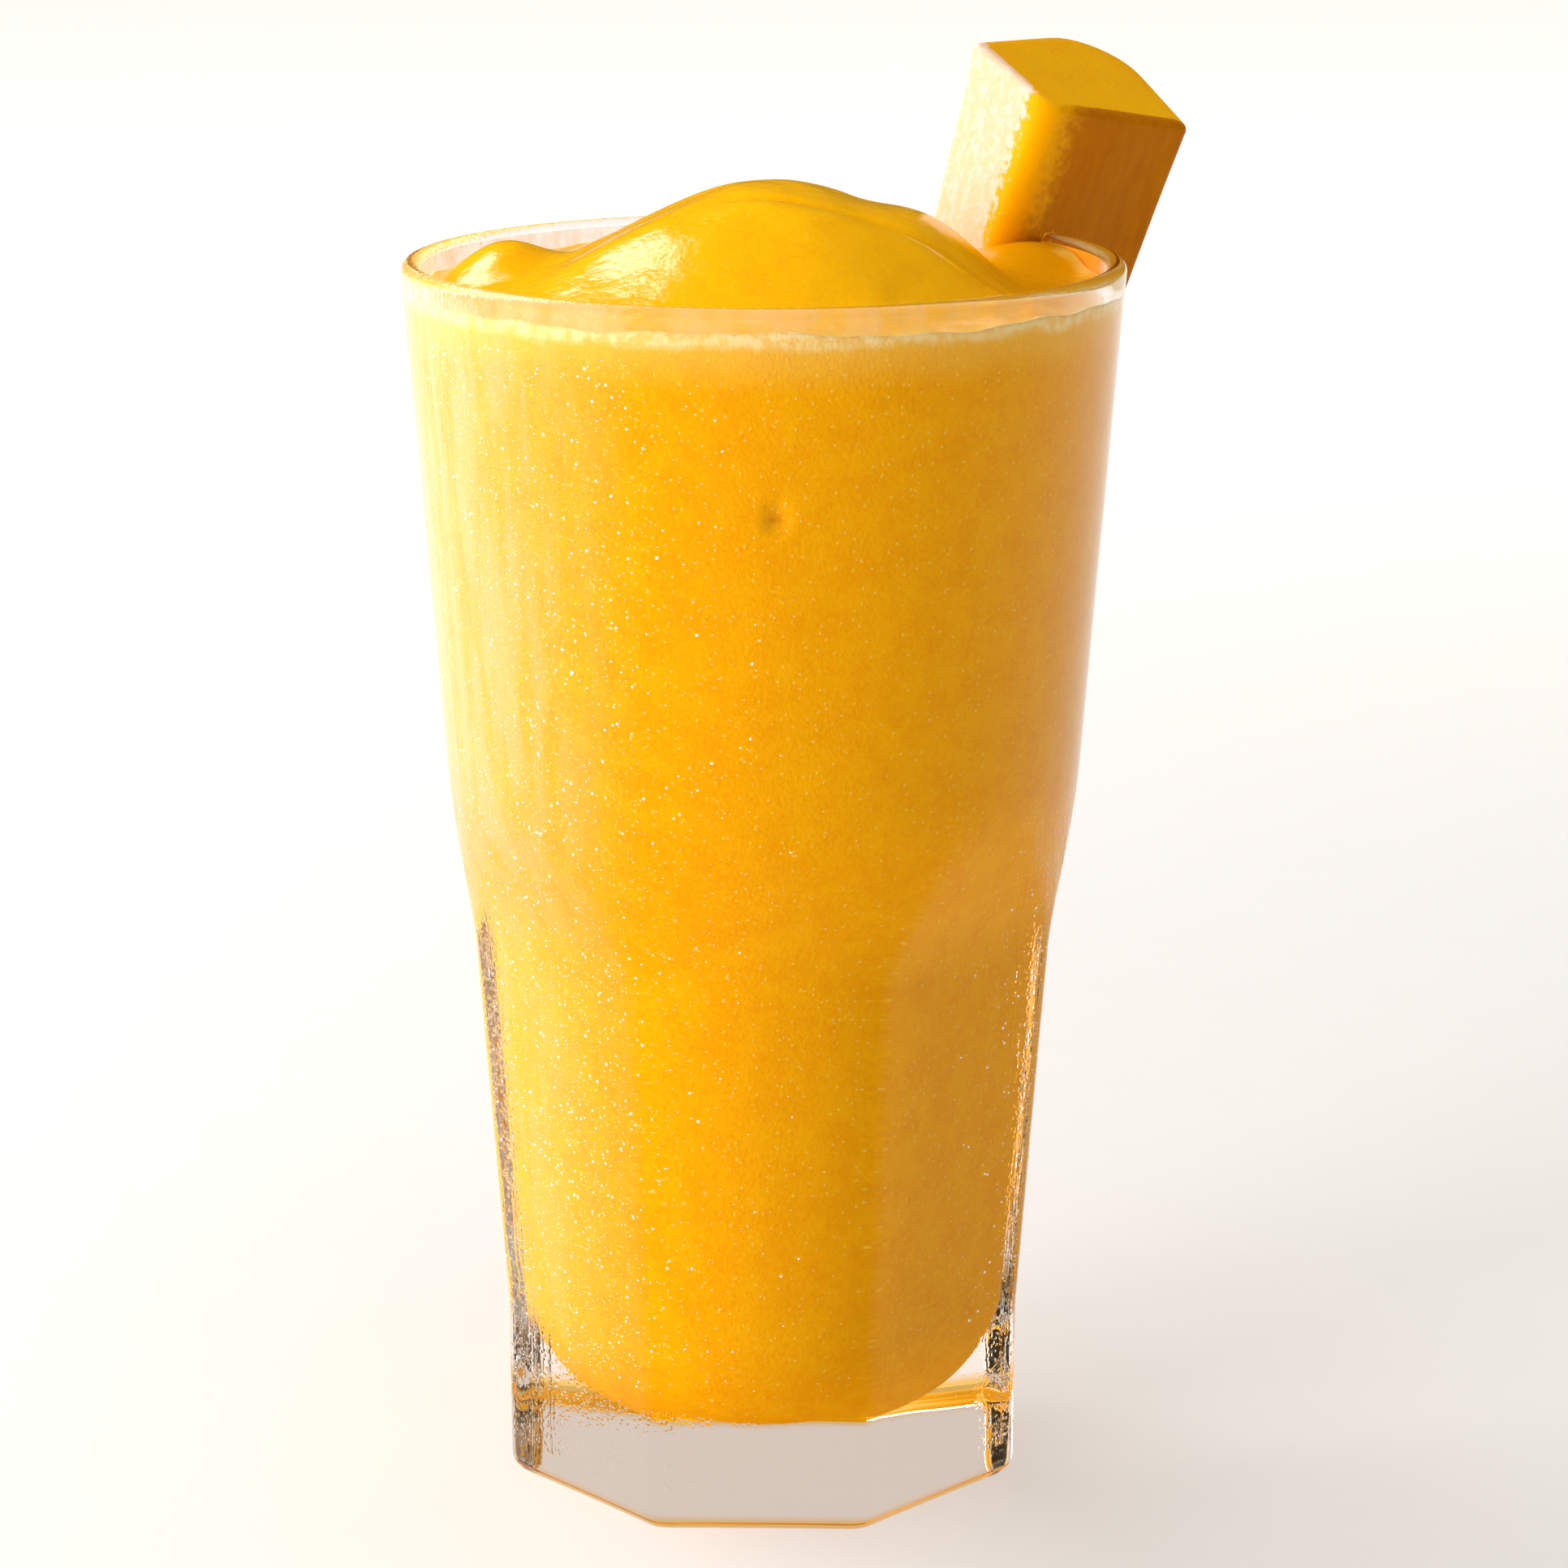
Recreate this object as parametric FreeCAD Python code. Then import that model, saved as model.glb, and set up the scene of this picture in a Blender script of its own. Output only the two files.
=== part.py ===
"""Mango smoothie: a tall eight-sided tumbler heaped past its rim, with a mango spear hung on it.

Millimetres, +Z up. The origin is the middle of the glass's underside and the front is -Y.
The nodes are glass, smoothie and mango_spear.
"""
import FreeCAD
import Part
import math
import os

Vector = FreeCAD.Vector

# Glass, outside
GLASS_HEIGHT = 150.0
RIM_RADIUS = 43.1            # outside radius of the wall carried up to the full height
WALL_TAPER = 0.075           # how much the outside radius falls for each mm down
FOOT_HEIGHT = 22.0           # the outside stands upright below this height
HEEL_RADIUS = 3.0            # rounding of the bottom edge

# Glass, facets of the lower half
FACETS = 8
FACET_TURN = -1.0            # degrees about Z, away from a facet that faces the front squarely
CORNER_LAND = 1.2            # width of the blunt corner between two facets, at the foot
WAIST_LOW = 71.0             # height where the facets start to sweep outwards
WAIST_HIGH = 87.5            # height where their arched tops run out into the round wall
WAIST_BLEND = 40.0           # radius of the bend outside, where the sweep starts

# Glass, inside
RIM_WALL = 2.4               # wall of the round upper half, and width of the lip
FACET_WALL = 8.0             # the heavy wall behind the middle of a facet
BASE_THICKNESS = 9.5
CAVITY_CORNER = 14.0         # rounding of the bottom corner inside
CAVITY_BLEND = 20.0          # radius of the bends inside the waist

# Smoothie, a heap above the level at which it meets the wall
FILL_BELOW_RIM = 3.2         # its level at the wall
HEAP_HEIGHT = 12.4           # of the main heap above that level
HEAP_CENTRE = (1.5, -1.0)
HEAP_LEFT = 38.0             # reach of the main heap to -X
HEAP_RIGHT = 34.0            # and to +X
HEAP_DEPTH = 38.0            # and to the front and back
SHOULDER_HEIGHT = 2.9        # a low swelling on the right flank
SHOULDER_CENTRE = (20.5, -4.0)
SHOULDER_REACH = (11.0, 16.0)
LOBE_HEIGHT = 4.1            # a separate low lobe by the left wall
LOBE_CENTRE = (-31.5, 4.0)
LOBE_REACH = (9.5, 14.0)
HEAP_STEP = 3.0              # spacing of the heap surface's support points

# Mango spear, a tapering block with a slit that hangs on the rim
# Section corners run from the near edge to the right, the back and the left.
SPEAR_TOP_CORNERS = [(0.0, 0.0), (21.6, 0.0), (21.8, 24.5), (-2.9, 15.4)]
SPEAR_FOOT_CORNERS = [(-1.0, 0.0), (19.0, 0.0), (16.2, 18.5), (0.4, 13.0)]
SPEAR_CORNER_RADII = [3.0, 1.0, 8.0, 1.2]
SPEAR_LENGTH = 48.0
SPEAR_TOP_RISE = 0.16        # slope of the top face, upwards to the back
SPEAR_TURN = 29.8            # degrees, of its right face from the X axis
SPEAR_LEAN_FRONT = 8.25      # degrees, towards the front
SPEAR_LEAN_RIGHT = 16.1      # degrees, to the right
SPEAR_AZIMUTH = 46.0         # degrees from +X to the back, of the point on the rim that it hangs on
SPEAR_SEAT = (4.7, 9.65)     # that point in the section's own axes
SPEAR_ABOVE_RIM = 18.8       # from that point up to the near top corner, along the spear
SLIT_CLEARANCE = 0.25        # between the slit's sides and the glass

LIP_RADIUS = RIM_WALL / 2
LIP_Z = GLASS_HEIGHT - LIP_RADIUS
MARGIN = 10.0                # how far cutting tools run past what they cut


def outside_radius(z):
    """Radius of the glass's round outside, before the facets, at height z."""
    return RIM_RADIUS - WALL_TAPER * (GLASS_HEIGHT - max(z, FOOT_HEIGHT))


def facet_apothem(z):
    """Distance of a facet from the axis, at height z below the waist."""
    land_angle = CORNER_LAND / (2 * outside_radius(FOOT_HEIGHT))
    return outside_radius(z) * math.cos(math.pi / FACETS - land_angle)


def blend(before, corner, after, radius):
    """Two tangent points and the middle point of the arc that rounds a corner between two lines."""
    back = (before - corner).normalize()
    ahead = (after - corner).normalize()
    half_angle = back.getAngle(ahead) / 2
    run = radius / math.tan(half_angle)
    middle = (back + ahead).normalize() * (radius / math.sin(half_angle) - radius)
    return corner + back * run, corner + middle, corner + ahead * run


def rounded_wire(corners, radii):
    """Closed wire through the corners, each rounded by its radius; 0 leaves a corner sharp."""
    stops = []
    for index, corner in enumerate(corners):
        if radii[index] > 0:
            following = corners[(index + 1) % len(corners)]
            stops.append(blend(corners[index - 1], corner, following, radii[index]))
        else:
            stops.append((corner, corner, corner))
    edges = []
    for index, (start, middle, end) in enumerate(stops):
        if radii[index] > 0:
            edges.append(Part.Arc(start, middle, end).toShape())
        next_start = stops[(index + 1) % len(stops)][0]
        if end.distanceToPoint(next_start) > 1e-6:
            edges.append(Part.makeLine(end, next_start))
    return Part.Wire(edges)


def revolved(corners, radii):
    """Solid of revolution about Z from (radius, height) corners."""
    points = [Vector(radius, 0, height) for radius, height in corners]
    face = Part.Face(rounded_wire(points, radii))
    return face.revolve(Vector(0, 0, 0), Vector(0, 0, 1), 360)


def outside_solid():
    """Round outside of the glass with its whole lip, filled inside up to where the lip starts."""
    foot = outside_radius(0)
    rim = RIM_RADIUS - RIM_WALL
    corners = [(0, 0), (foot, 0), (foot, FOOT_HEIGHT), (RIM_RADIUS, GLASS_HEIGHT), (rim, GLASS_HEIGHT),
               (rim, LIP_Z), (0, LIP_Z)]
    return revolved(corners, [0, HEEL_RADIUS, 0, LIP_RADIUS, LIP_RADIUS, 0, 0])


def cavity_solid(top):
    """Round inside of the glass, from its floor up to the given height."""
    rim = RIM_RADIUS - RIM_WALL
    waist_top = outside_radius(WAIST_HIGH) - RIM_WALL
    waist_bottom = facet_apothem(WAIST_LOW) - FACET_WALL
    floor = facet_apothem(0) - FACET_WALL
    corners = [(0, BASE_THICKNESS), (floor, BASE_THICKNESS), (waist_bottom, WAIST_LOW),
               (waist_top, WAIST_HIGH), (rim, LIP_Z), (rim, top), (0, top)]
    return revolved(corners, [0, CAVITY_CORNER, CAVITY_BLEND, CAVITY_BLEND, 0, 0, 0])


def facet_cutter(index):
    """What lies outside one facet: flat below the waist, then sweeping out to the round wall."""
    foot = facet_apothem(0)
    waist = Vector(facet_apothem(WAIST_LOW), 0, WAIST_LOW)
    arch = Vector(outside_radius(WAIST_HIGH), 0, WAIST_HIGH)
    beyond = arch + (arch - waist).normalize() * MARGIN
    far = RIM_RADIUS + MARGIN
    inset = HEEL_RADIUS * (1 - math.sqrt(0.5))
    heel = Part.Arc(Vector(foot - HEEL_RADIUS, 0, 0), Vector(foot - inset, 0, inset), Vector(foot, 0, HEEL_RADIUS))
    sweep = Part.Arc(*blend(Vector(foot, 0, FOOT_HEIGHT), waist, arch, WAIST_BLEND))
    straight = [heel.EndPoint, Vector(foot, 0, FOOT_HEIGHT), sweep.StartPoint]
    outer = [sweep.EndPoint, beyond, Vector(far, 0, beyond.z), Vector(far, 0, -MARGIN),
             Vector(foot - HEEL_RADIUS, 0, -MARGIN), heel.StartPoint]
    edges = [heel.toShape(), *Part.makePolygon(straight).Edges, sweep.toShape(),
             *Part.makePolygon(outer).Edges]
    face = Part.Face(Part.Wire(edges))
    face.translate(Vector(0, -RIM_RADIUS, 0))
    cutter = face.extrude(Vector(0, 2 * RIM_RADIUS, 0))
    cutter.rotate(Vector(0, 0, 0), Vector(0, 0, 1), FACET_TURN - 90 + index * 360 / FACETS)
    return cutter


def glass():
    """The tumbler: round above, eight facets below, hollow, with a rounded lip."""
    body = outside_solid().cut(cavity_solid(GLASS_HEIGHT + MARGIN))
    return body.cut([facet_cutter(index) for index in range(FACETS)])


def bump(x, y, centre, reach):
    """A smooth hill of height 1 over an oval, half a cosine wave from its top to its edge."""
    distance = math.hypot((x - centre[0]) / reach[0], (y - centre[1]) / reach[1])
    return (1 + math.cos(math.pi * min(1.0, distance))) / 2


def heap_height(x, y):
    """Height of the smoothie's surface over a point."""
    reach = HEAP_LEFT if x < HEAP_CENTRE[0] else HEAP_RIGHT
    return (GLASS_HEIGHT - FILL_BELOW_RIM
            + HEAP_HEIGHT * bump(x, y, HEAP_CENTRE, (reach, HEAP_DEPTH))
            + SHOULDER_HEIGHT * bump(x, y, SHOULDER_CENTRE, SHOULDER_REACH)
            + LOBE_HEIGHT * bump(x, y, LOBE_CENTRE, LOBE_REACH))


def under_heap():
    """Everything under the heap's surface, as deep as the glass is tall."""
    steps = math.ceil(RIM_RADIUS / HEAP_STEP)
    places = [step * HEAP_STEP for step in range(-steps, steps + 1)]
    surface = Part.BSplineSurface()
    surface.interpolate([[Vector(x, y, heap_height(x, y)) for y in places] for x in places])
    return surface.toShape().extrude(Vector(0, 0, -GLASS_HEIGHT))


def spear_section(corners, along):
    """Wire of the spear's rounded section, at a distance along it."""
    points = [Vector(x, y, along) for x, y in corners]
    return rounded_wire(points, SPEAR_CORNER_RADII)


def above_spear():
    """Block that covers all above the spear's sloping top face."""
    size = 4 * SPEAR_LENGTH
    block = Part.makeBox(size, size, size, Vector(-size / 2, -size / 2, 0))
    block.rotate(Vector(0, 0, 0), Vector(1, 0, 0), math.degrees(math.atan(SPEAR_TOP_RISE)))
    return block


def spear_block():
    """The spear before it is slit, in place over the rim."""
    extra = SPEAR_TOP_RISE * max(y for x, y in SPEAR_TOP_CORNERS) + 1
    growth = extra / SPEAR_LENGTH
    above = [(top[0] + (top[0] - foot[0]) * growth, top[1] + (top[1] - foot[1]) * growth)
             for top, foot in zip(SPEAR_TOP_CORNERS, SPEAR_FOOT_CORNERS)]
    sections = [spear_section(SPEAR_FOOT_CORNERS, -SPEAR_LENGTH), spear_section(above, extra)]
    block = Part.makeLoft(sections, True, True).cut(above_spear())

    turn = FreeCAD.Rotation(Vector(0, 1, 0), SPEAR_LEAN_RIGHT)
    turn = turn * FreeCAD.Rotation(Vector(1, 0, 0), SPEAR_LEAN_FRONT)
    turn = turn * FreeCAD.Rotation(Vector(0, 0, 1), SPEAR_TURN)
    azimuth = math.radians(SPEAR_AZIMUTH)
    seat = Vector(math.cos(azimuth), math.sin(azimuth), 0) * (RIM_RADIUS - LIP_RADIUS)
    seat.z = GLASS_HEIGHT
    seat_in_spear = Vector(SPEAR_SEAT[0], SPEAR_SEAT[1], -SPEAR_ABOVE_RIM)
    block.Placement = FreeCAD.Placement(seat - turn.multVec(seat_in_spear), turn)
    return block


def slit():
    """Ring just wider than the glass wall, from its lip down past the spear's foot."""
    bottom = GLASS_HEIGHT - SPEAR_LENGTH
    outer = RIM_RADIUS + SLIT_CLEARANCE
    inner = RIM_RADIUS - RIM_WALL - SLIT_CLEARANCE
    taper = WALL_TAPER * (GLASS_HEIGHT - bottom)
    corners = [(inner - taper, bottom), (outer - taper, bottom), (outer, GLASS_HEIGHT), (inner, GLASS_HEIGHT)]
    return revolved(corners, [0, 0, 0, 0])


def smoothie():
    """The drink, filling the glass and heaped above it, cut round the spear."""
    top = GLASS_HEIGHT + HEAP_HEIGHT + MARGIN
    return cavity_solid(top).common(under_heap()).cut(spear_block())


def mango_spear():
    """The garnish, with its slit on the rim: one leg in the drink and one outside the glass."""
    return spear_block().cut(slit())


NODES = {"glass": glass, "smoothie": smoothie, "mango_spear": mango_spear}


def main():
    os.makedirs("parts", exist_ok=True)
    for name, make in NODES.items():
        shape = make()
        shape.exportStep("parts/" + name + ".step")
        box = shape.BoundBox
        print(name, len(shape.Solids), "solid,", round(shape.Volume), "mm3, x", round(box.XMin, 1),
              round(box.XMax, 1), "y", round(box.YMin, 1), round(box.YMax, 1), "z", round(box.ZMin, 1),
              round(box.ZMax, 1), "valid", shape.isValid())


main()
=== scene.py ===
"""Mango smoothie in a tall eight-sided tumbler, heaped past its rim, with a mango spear hung on it.

Metres, +Z up. The origin is the middle of the glass's underside and the front is -Y.
Every piece is a surface worked out on a grid of rows and columns.
"""
import math

import bpy
import numpy as np
from bpy.props import FloatProperty, FloatVectorProperty, IntProperty, PointerProperty
from mathutils import Euler, Matrix, Vector


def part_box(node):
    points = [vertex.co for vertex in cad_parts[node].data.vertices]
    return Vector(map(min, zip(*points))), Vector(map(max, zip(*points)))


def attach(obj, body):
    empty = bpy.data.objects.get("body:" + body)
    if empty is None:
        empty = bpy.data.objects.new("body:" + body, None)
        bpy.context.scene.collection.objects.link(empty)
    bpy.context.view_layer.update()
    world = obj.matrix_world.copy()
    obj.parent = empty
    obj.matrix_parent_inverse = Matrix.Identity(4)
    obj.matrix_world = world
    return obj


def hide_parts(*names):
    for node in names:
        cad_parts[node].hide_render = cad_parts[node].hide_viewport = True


bl_info = {
    "name": "Mango smoothie",
    "version": (1, 0, 0),
    "blender": (4, 5, 0),
    "location": "3D View > Sidebar > Smoothie",
    "description": "A tumbler of mango smoothie with a mango spear on its rim",
    "category": "Add Mesh",
}

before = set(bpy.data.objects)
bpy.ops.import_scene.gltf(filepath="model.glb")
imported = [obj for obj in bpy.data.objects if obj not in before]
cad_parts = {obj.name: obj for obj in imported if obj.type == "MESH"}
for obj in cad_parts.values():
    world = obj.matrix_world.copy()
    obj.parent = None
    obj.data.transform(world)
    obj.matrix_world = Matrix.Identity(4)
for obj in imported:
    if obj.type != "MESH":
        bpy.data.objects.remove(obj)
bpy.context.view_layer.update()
GLASS_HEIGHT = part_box("glass")[1].z
MM = 0.001


# Settings

def length(name, description, millimetres):
    """A setting for a length, with its default in millimetres."""
    return FloatProperty(name=name, description=description, default=millimetres * MM, precision=5,
                         subtype="DISTANCE", unit="LENGTH")


def angle(name, description, degrees):
    """A setting for an angle, with its default in degrees."""
    return FloatProperty(name=name, description=description, default=math.radians(degrees),
                         subtype="ANGLE", unit="ROTATION")


def share(name, description, default):
    """A setting for a plain share or slope."""
    return FloatProperty(name=name, description=description, default=default, precision=3, subtype="FACTOR")


def plain(name, description, default):
    """A setting for a plain number."""
    return FloatProperty(name=name, description=description, default=default)


def colour(name, description, red, green, blue):
    """A setting for a linear colour."""
    return FloatVectorProperty(name=name, description=description, default=(red, green, blue), size=3,
                               min=0.0, max=1.0, subtype="COLOR")


class TumblerSettings(bpy.types.PropertyGroup):
    """Sizes of the glass, the same as the CAD part's."""
    rim_radius: length("Rim radius", "Outside radius of the wall carried up to the full height", 43.1)
    taper: share("Taper", "How much the outside radius falls for each unit down", 0.075)
    foot_height: length("Foot height", "The outside stands upright below this height", 22.0)
    heel_radius: length("Heel radius", "Rounding of the bottom edge", 3.0)
    facets: IntProperty(name="Facets", description="Flat sides of the lower half", default=8, min=3)
    facet_turn: angle("Facet turn", "Turn about Z, away from a facet that faces the front", -1.0)
    corner_land: length("Corner land", "Width of the blunt corner between two facets", 1.2)
    corner_melt: length("Corner melt", "Softness of every edge between facets and the round wall", 0.45)
    waist_low: length("Waist, low", "Height where the facets start to sweep outwards", 71.0)
    waist_high: length("Waist, high", "Height where their arched tops run out into the wall", 87.5)
    waist_blend: length("Waist blend", "Radius of the bend at the waist", 40.0)
    rim_wall: length("Rim wall", "Wall of the round upper half", 2.4)
    facet_wall: length("Facet wall", "Wall behind the middle of a facet", 8.0)
    base: length("Base", "Thickness of the base", 9.5)
    cavity_corner: length("Cavity corner", "Rounding of the bottom corner inside", 14.0)
    cavity_blend: length("Cavity blend", "Radius of the bends inside the waist", 20.0)
    columns: IntProperty(name="Columns", description="Columns of points on each facet", default=48, min=8)


class SmoothieSettings(bpy.types.PropertyGroup):
    """Sizes and colours of the drink."""
    below_rim: length("Below the rim", "Its level at the wall, below the rim", 3.2)
    bite: length("Bite", "How far it reaches into the glass wall", 0.15)
    heap_height: length("Heap height", "Height of the main heap above the level", 12.4)
    heap_left: length("Heap, left", "Reach of the main heap to the left", 38.0)
    heap_right: length("Heap, right", "Reach of the main heap to the right", 34.0)
    heap_depth: length("Heap, depth", "Reach of the main heap to the front and back", 38.0)
    shoulder_height: length("Shoulder height", "A low swelling on the right flank", 2.9)
    lobe_height: length("Lobe height", "A separate low lobe by the left wall", 4.1)
    lap_height: length("Lap height", "How far the drink is pushed up beside the spear", 2.7)
    fold_depth: length("Fold depth", "Depth of the crease across the right of the heap", 0.55)
    columns: IntProperty(name="Columns", description="Columns of points round the glass", default=420, min=24)
    flesh: colour("Colour", "Colour of the drink", 0.97, 0.44, 0.001)
    # Painted light: a lighter, yellower copy of the drink's colour, used on its open top where the light falls.
    lit_top: colour("Airy colour", "Colour of its open surface", 1.0, 0.49, 0.001)
    pale: colour("Pale colour", "Colour of its froth and flecks", 1.0, 0.68, 0.14)
    deep: colour("Deep colour", "Colour of its darker pulp", 0.91, 0.34, 0.0005)


class SpearSettings(bpy.types.PropertyGroup):
    """Sizes and colours of the mango spear."""
    length: length("Length", "Length below the near top corner", 48.0)
    top_rise: share("Top rise", "Slope of the top face, upwards to the back", 0.16)
    turn: angle("Turn", "Turn of its right face from the X axis", 29.8)
    lean_front: angle("Lean, front", "Lean towards the front", 8.25)
    lean_right: angle("Lean, right", "Lean to the right", 16.1)
    azimuth: angle("Azimuth", "Where on the rim it hangs, from +X to the back", 46.0)
    above_rim: length("Above the rim", "From the rim up to the near top corner", 18.8)
    edge: length("Edge", "Rounding of its ends", 1.0)
    slit_clearance: length("Slit clearance", "Between the slit's sides and the glass", 0.04)
    flesh: colour("Colour", "Colour of the ripe flesh", 1.0, 0.48, 0.001)
    # Painted light: the pale colour is painted on the left face, where the window light falls on it.
    pale: colour("Pale colour", "Colour of the pale face by the stone", 1.0, 0.70, 0.56)
    # Besides the flesh's own uneven tone, this deep colour is painted on the right face as painted shade.
    deep: colour("Deep colour", "Colour of the deepest flesh", 0.52, 0.15, 0.0002)


class DewSettings(bpy.types.PropertyGroup):
    """Drops of condensed water on the outside of the glass."""
    count: IntProperty(name="Count", description="How many drops", default=6400, min=1)
    smallest: length("Smallest", "Radius of the smallest drops", 0.06)
    largest: length("Largest", "Radius of the largest drops", 0.20)
    seed: IntProperty(name="Seed", description="Choice of places and sizes", default=7, min=0)


class StageSettings(bpy.types.PropertyGroup):
    """Floor, lights and camera."""
    camera_distance: length("Camera distance", "From the glass's axis, in front of it", 522.1)
    camera_height: length("Camera height", "Above the floor", 219.9)
    camera_pitch: angle("Camera pitch", "How far the camera looks down", 14.444)
    camera_lens: plain("Lens", "Focal length in millimetres", 101.2)
    camera_shift: plain("Shift", "Sideways shift of the view", 0.0129)
    key_power: plain("Key light", "Power of the high light behind left, in watts", 3.2)
    window_power: plain("Window light", "Power of the broad light at the left, in watts", 6.6)
    fill_power: plain("Fill light", "Power of the light at the front left, in watts", 5.8)
    ceiling_power: plain("Ceiling light", "Power of the light overhead, in watts", 35.0)
    room: plain("Room light", "Strength of the light from all round", 0.16)
    backdrop: plain("Backdrop", "Brightness of the room where it is seen through glass", 0.66)
    seen: plain("Seen room", "Brightness of the room where it is seen directly", 0.97)
    reflected: plain("Reflected room", "Brightness of the room in reflections", 0.30)
    floor_gap: length("Floor gap", "Air between the floor and the underside of the glass", 0.2)
    floor: colour("Floor", "Colour of the floor", 0.60, 0.59, 0.575)


# Shapes

def smooth_min(a, b, width):
    """The lesser of a and b, with a parabola of that width across their meeting."""
    near = np.maximum(width - np.abs(a - b), 0) / np.maximum(width, 1e-9)
    return np.minimum(a, b) - near * near * width / 4


def smooth_step(value, low, high):
    """0 below low, 1 above high, and a smooth cubic ramp between."""
    ramp = np.clip((value - low) / (high - low), 0, 1)
    return ramp * ramp * (3 - 2 * ramp)


def stretch(start, end, step):
    """Evenly spaced numbers from start to end, about a step apart, without the end."""
    return np.linspace(start, end, max(1, round(abs(end - start) / step)), endpoint=False)


def ripples(x, y, wavelength, seed):
    """Uneven ripples of height about 1: a mean of sine waves in seeded directions, near one wavelength."""
    rng = np.random.default_rng(seed)
    heading = rng.uniform(0, 2 * np.pi, 9)
    lengths = wavelength * rng.uniform(0.7, 1.5, 9)
    across = x[..., None] * np.cos(heading) + y[..., None] * np.sin(heading)
    return np.sin(2 * np.pi * across / lengths + rng.uniform(0, 2 * np.pi, 9)).mean(axis=-1) * 2


def corner_arc(before, corner, after, radius, count=None, step=None):
    """Points along an arc tangent to both sides of a corner: so many, or about a step apart."""
    back = (before - corner) / np.linalg.norm(before - corner)
    ahead = (after - corner) / np.linalg.norm(after - corner)
    half = np.arccos(np.clip(back @ ahead, -1, 1)) / 2
    start = corner + back * radius / np.tan(half)
    end = corner + ahead * radius / np.tan(half)
    middle = corner + (back + ahead) / np.linalg.norm(back + ahead) * radius / np.sin(half)
    swing = np.pi - 2 * half
    sweep = np.linspace(0, 1, count or max(3, round(swing * radius / step) + 1))[:, None]
    arc = np.sin((1 - sweep) * swing) * (start - middle) + np.sin(sweep * swing) * (end - middle)
    return middle + arc / np.sin(swing)


def rounded_path(corners, radii, step):
    """Points along straight runs through 2-D corners, each rounded by an arc tangent to both runs."""
    corners = np.array(corners, float)
    parts = [corners[:1]]
    for before, corner, after, radius in zip(corners, corners[1:], corners[2:], radii[1:]):
        arc = corner_arc(before, corner, after, radius, step=step)
        parts += [straight(parts[-1][-1], arc[0], step), arc[1:]]
    parts.append(straight(parts[-1][-1], corners[-1], step))
    return np.concatenate(parts)


def straight(start, end, step):
    """Points from start to end, about a step apart, without the start."""
    count = max(1, round(np.linalg.norm(end - start) / step))
    return start + (end - start) * np.linspace(0, 1, count + 1)[1:, None]


def add_piece(name, points, faces, materials, face_material=None, attributes=None):
    """A shown mesh object from an array of points and arrays of corner indices, shaded smooth."""
    mesh = bpy.data.meshes.new(name)
    loops = np.concatenate([group.ravel() for group in faces])
    sizes = np.concatenate([np.full(len(group), group.shape[1]) for group in faces])
    mesh.vertices.add(len(points))
    mesh.vertices.foreach_set("co", np.asarray(points, np.float32).ravel())
    mesh.loops.add(len(loops))
    mesh.loops.foreach_set("vertex_index", loops.astype(np.int32))
    mesh.polygons.add(len(sizes))
    mesh.polygons.foreach_set("loop_start", (np.cumsum(sizes) - sizes).astype(np.int32))
    for material in materials:
        mesh.materials.append(material)
    if face_material is not None:
        mesh.polygons.foreach_set("material_index", np.asarray(face_material, np.int32))
    for key, values in (attributes or {}).items():
        mesh.attributes.new(key, "FLOAT", "POINT").data.foreach_set("value", values.astype(np.float32).ravel())
    mesh.update(calc_edges=True)
    mesh.validate()
    mesh.shade_smooth()
    piece = bpy.data.objects.new(name, mesh)
    bpy.context.scene.collection.objects.link(piece)
    return piece


def closed_rings(rings):
    """Points and faces of rings of points, rows by columns, shut at each end by their middle point.

    Rows run so that column direction cross row direction points outwards.
    """
    rows, columns = rings.shape[:2]
    poles = np.stack([rings[0].mean(axis=0), rings[-1].mean(axis=0)])
    points = np.concatenate([rings.reshape(-1, 3), poles])
    here = np.arange(rows * columns).reshape(rows, columns)
    ahead = np.roll(here, -1, axis=1)
    quads = np.stack([here[:-1], ahead[:-1], ahead[1:], here[1:]], axis=-1).reshape(-1, 4)
    first = np.stack([ahead[0], here[0], np.full(columns, rows * columns)], axis=-1)
    last = np.stack([here[-1], ahead[-1], np.full(columns, rows * columns + 1)], axis=-1)
    return points, [quads, first, last]


def closed_tube(rings):
    """Points and faces of rings of points whose last row joins the first, as on a hoop."""
    rows, columns = rings.shape[:2]
    here = np.arange(rows * columns).reshape(rows, columns)
    ahead = np.roll(here, -1, axis=1)
    above = np.roll(here, -1, axis=0)
    quads = np.stack([here, ahead, np.roll(above, -1, axis=1), above], axis=-1).reshape(-1, 4)
    return rings.reshape(-1, 3), [quads]


def turned(radius, height, around):
    """Points at a radius and height, at angles around Z; the three arrays broadcast together."""
    x, y, z = np.broadcast_arrays(radius * np.cos(around), radius * np.sin(around), height)
    return np.stack([x, y, z], axis=-1)


# Glass

def outside_radius(t, z):
    """Radius of the round outside: the rim radius less the taper times the depth below the rim."""
    return t.rim_radius - t.taper * (GLASS_HEIGHT - np.maximum(z, t.foot_height))


def facet_apothem(t, z):
    """Distance of a facet from the axis below the waist, set by the blunt corner's width."""
    land_angle = t.corner_land / (2 * outside_radius(t, t.foot_height))
    return outside_radius(t, z) * np.cos(np.pi / t.facets - land_angle)


def facet_reach(t, z):
    """Distance of a facet from the axis: upright to the waist, then a straight sweep to the round wall."""
    low = facet_apothem(t, t.waist_low)
    slope = (outside_radius(t, t.waist_high) - low) / (t.waist_high - t.waist_low)
    sweep = low + (z - t.waist_low) * slope
    bend = t.waist_blend * (math.atan(slope) - math.atan(t.taper)) / 2 * (slope - t.taper)
    return -smooth_min(-facet_apothem(t, z), -sweep, bend)


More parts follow.
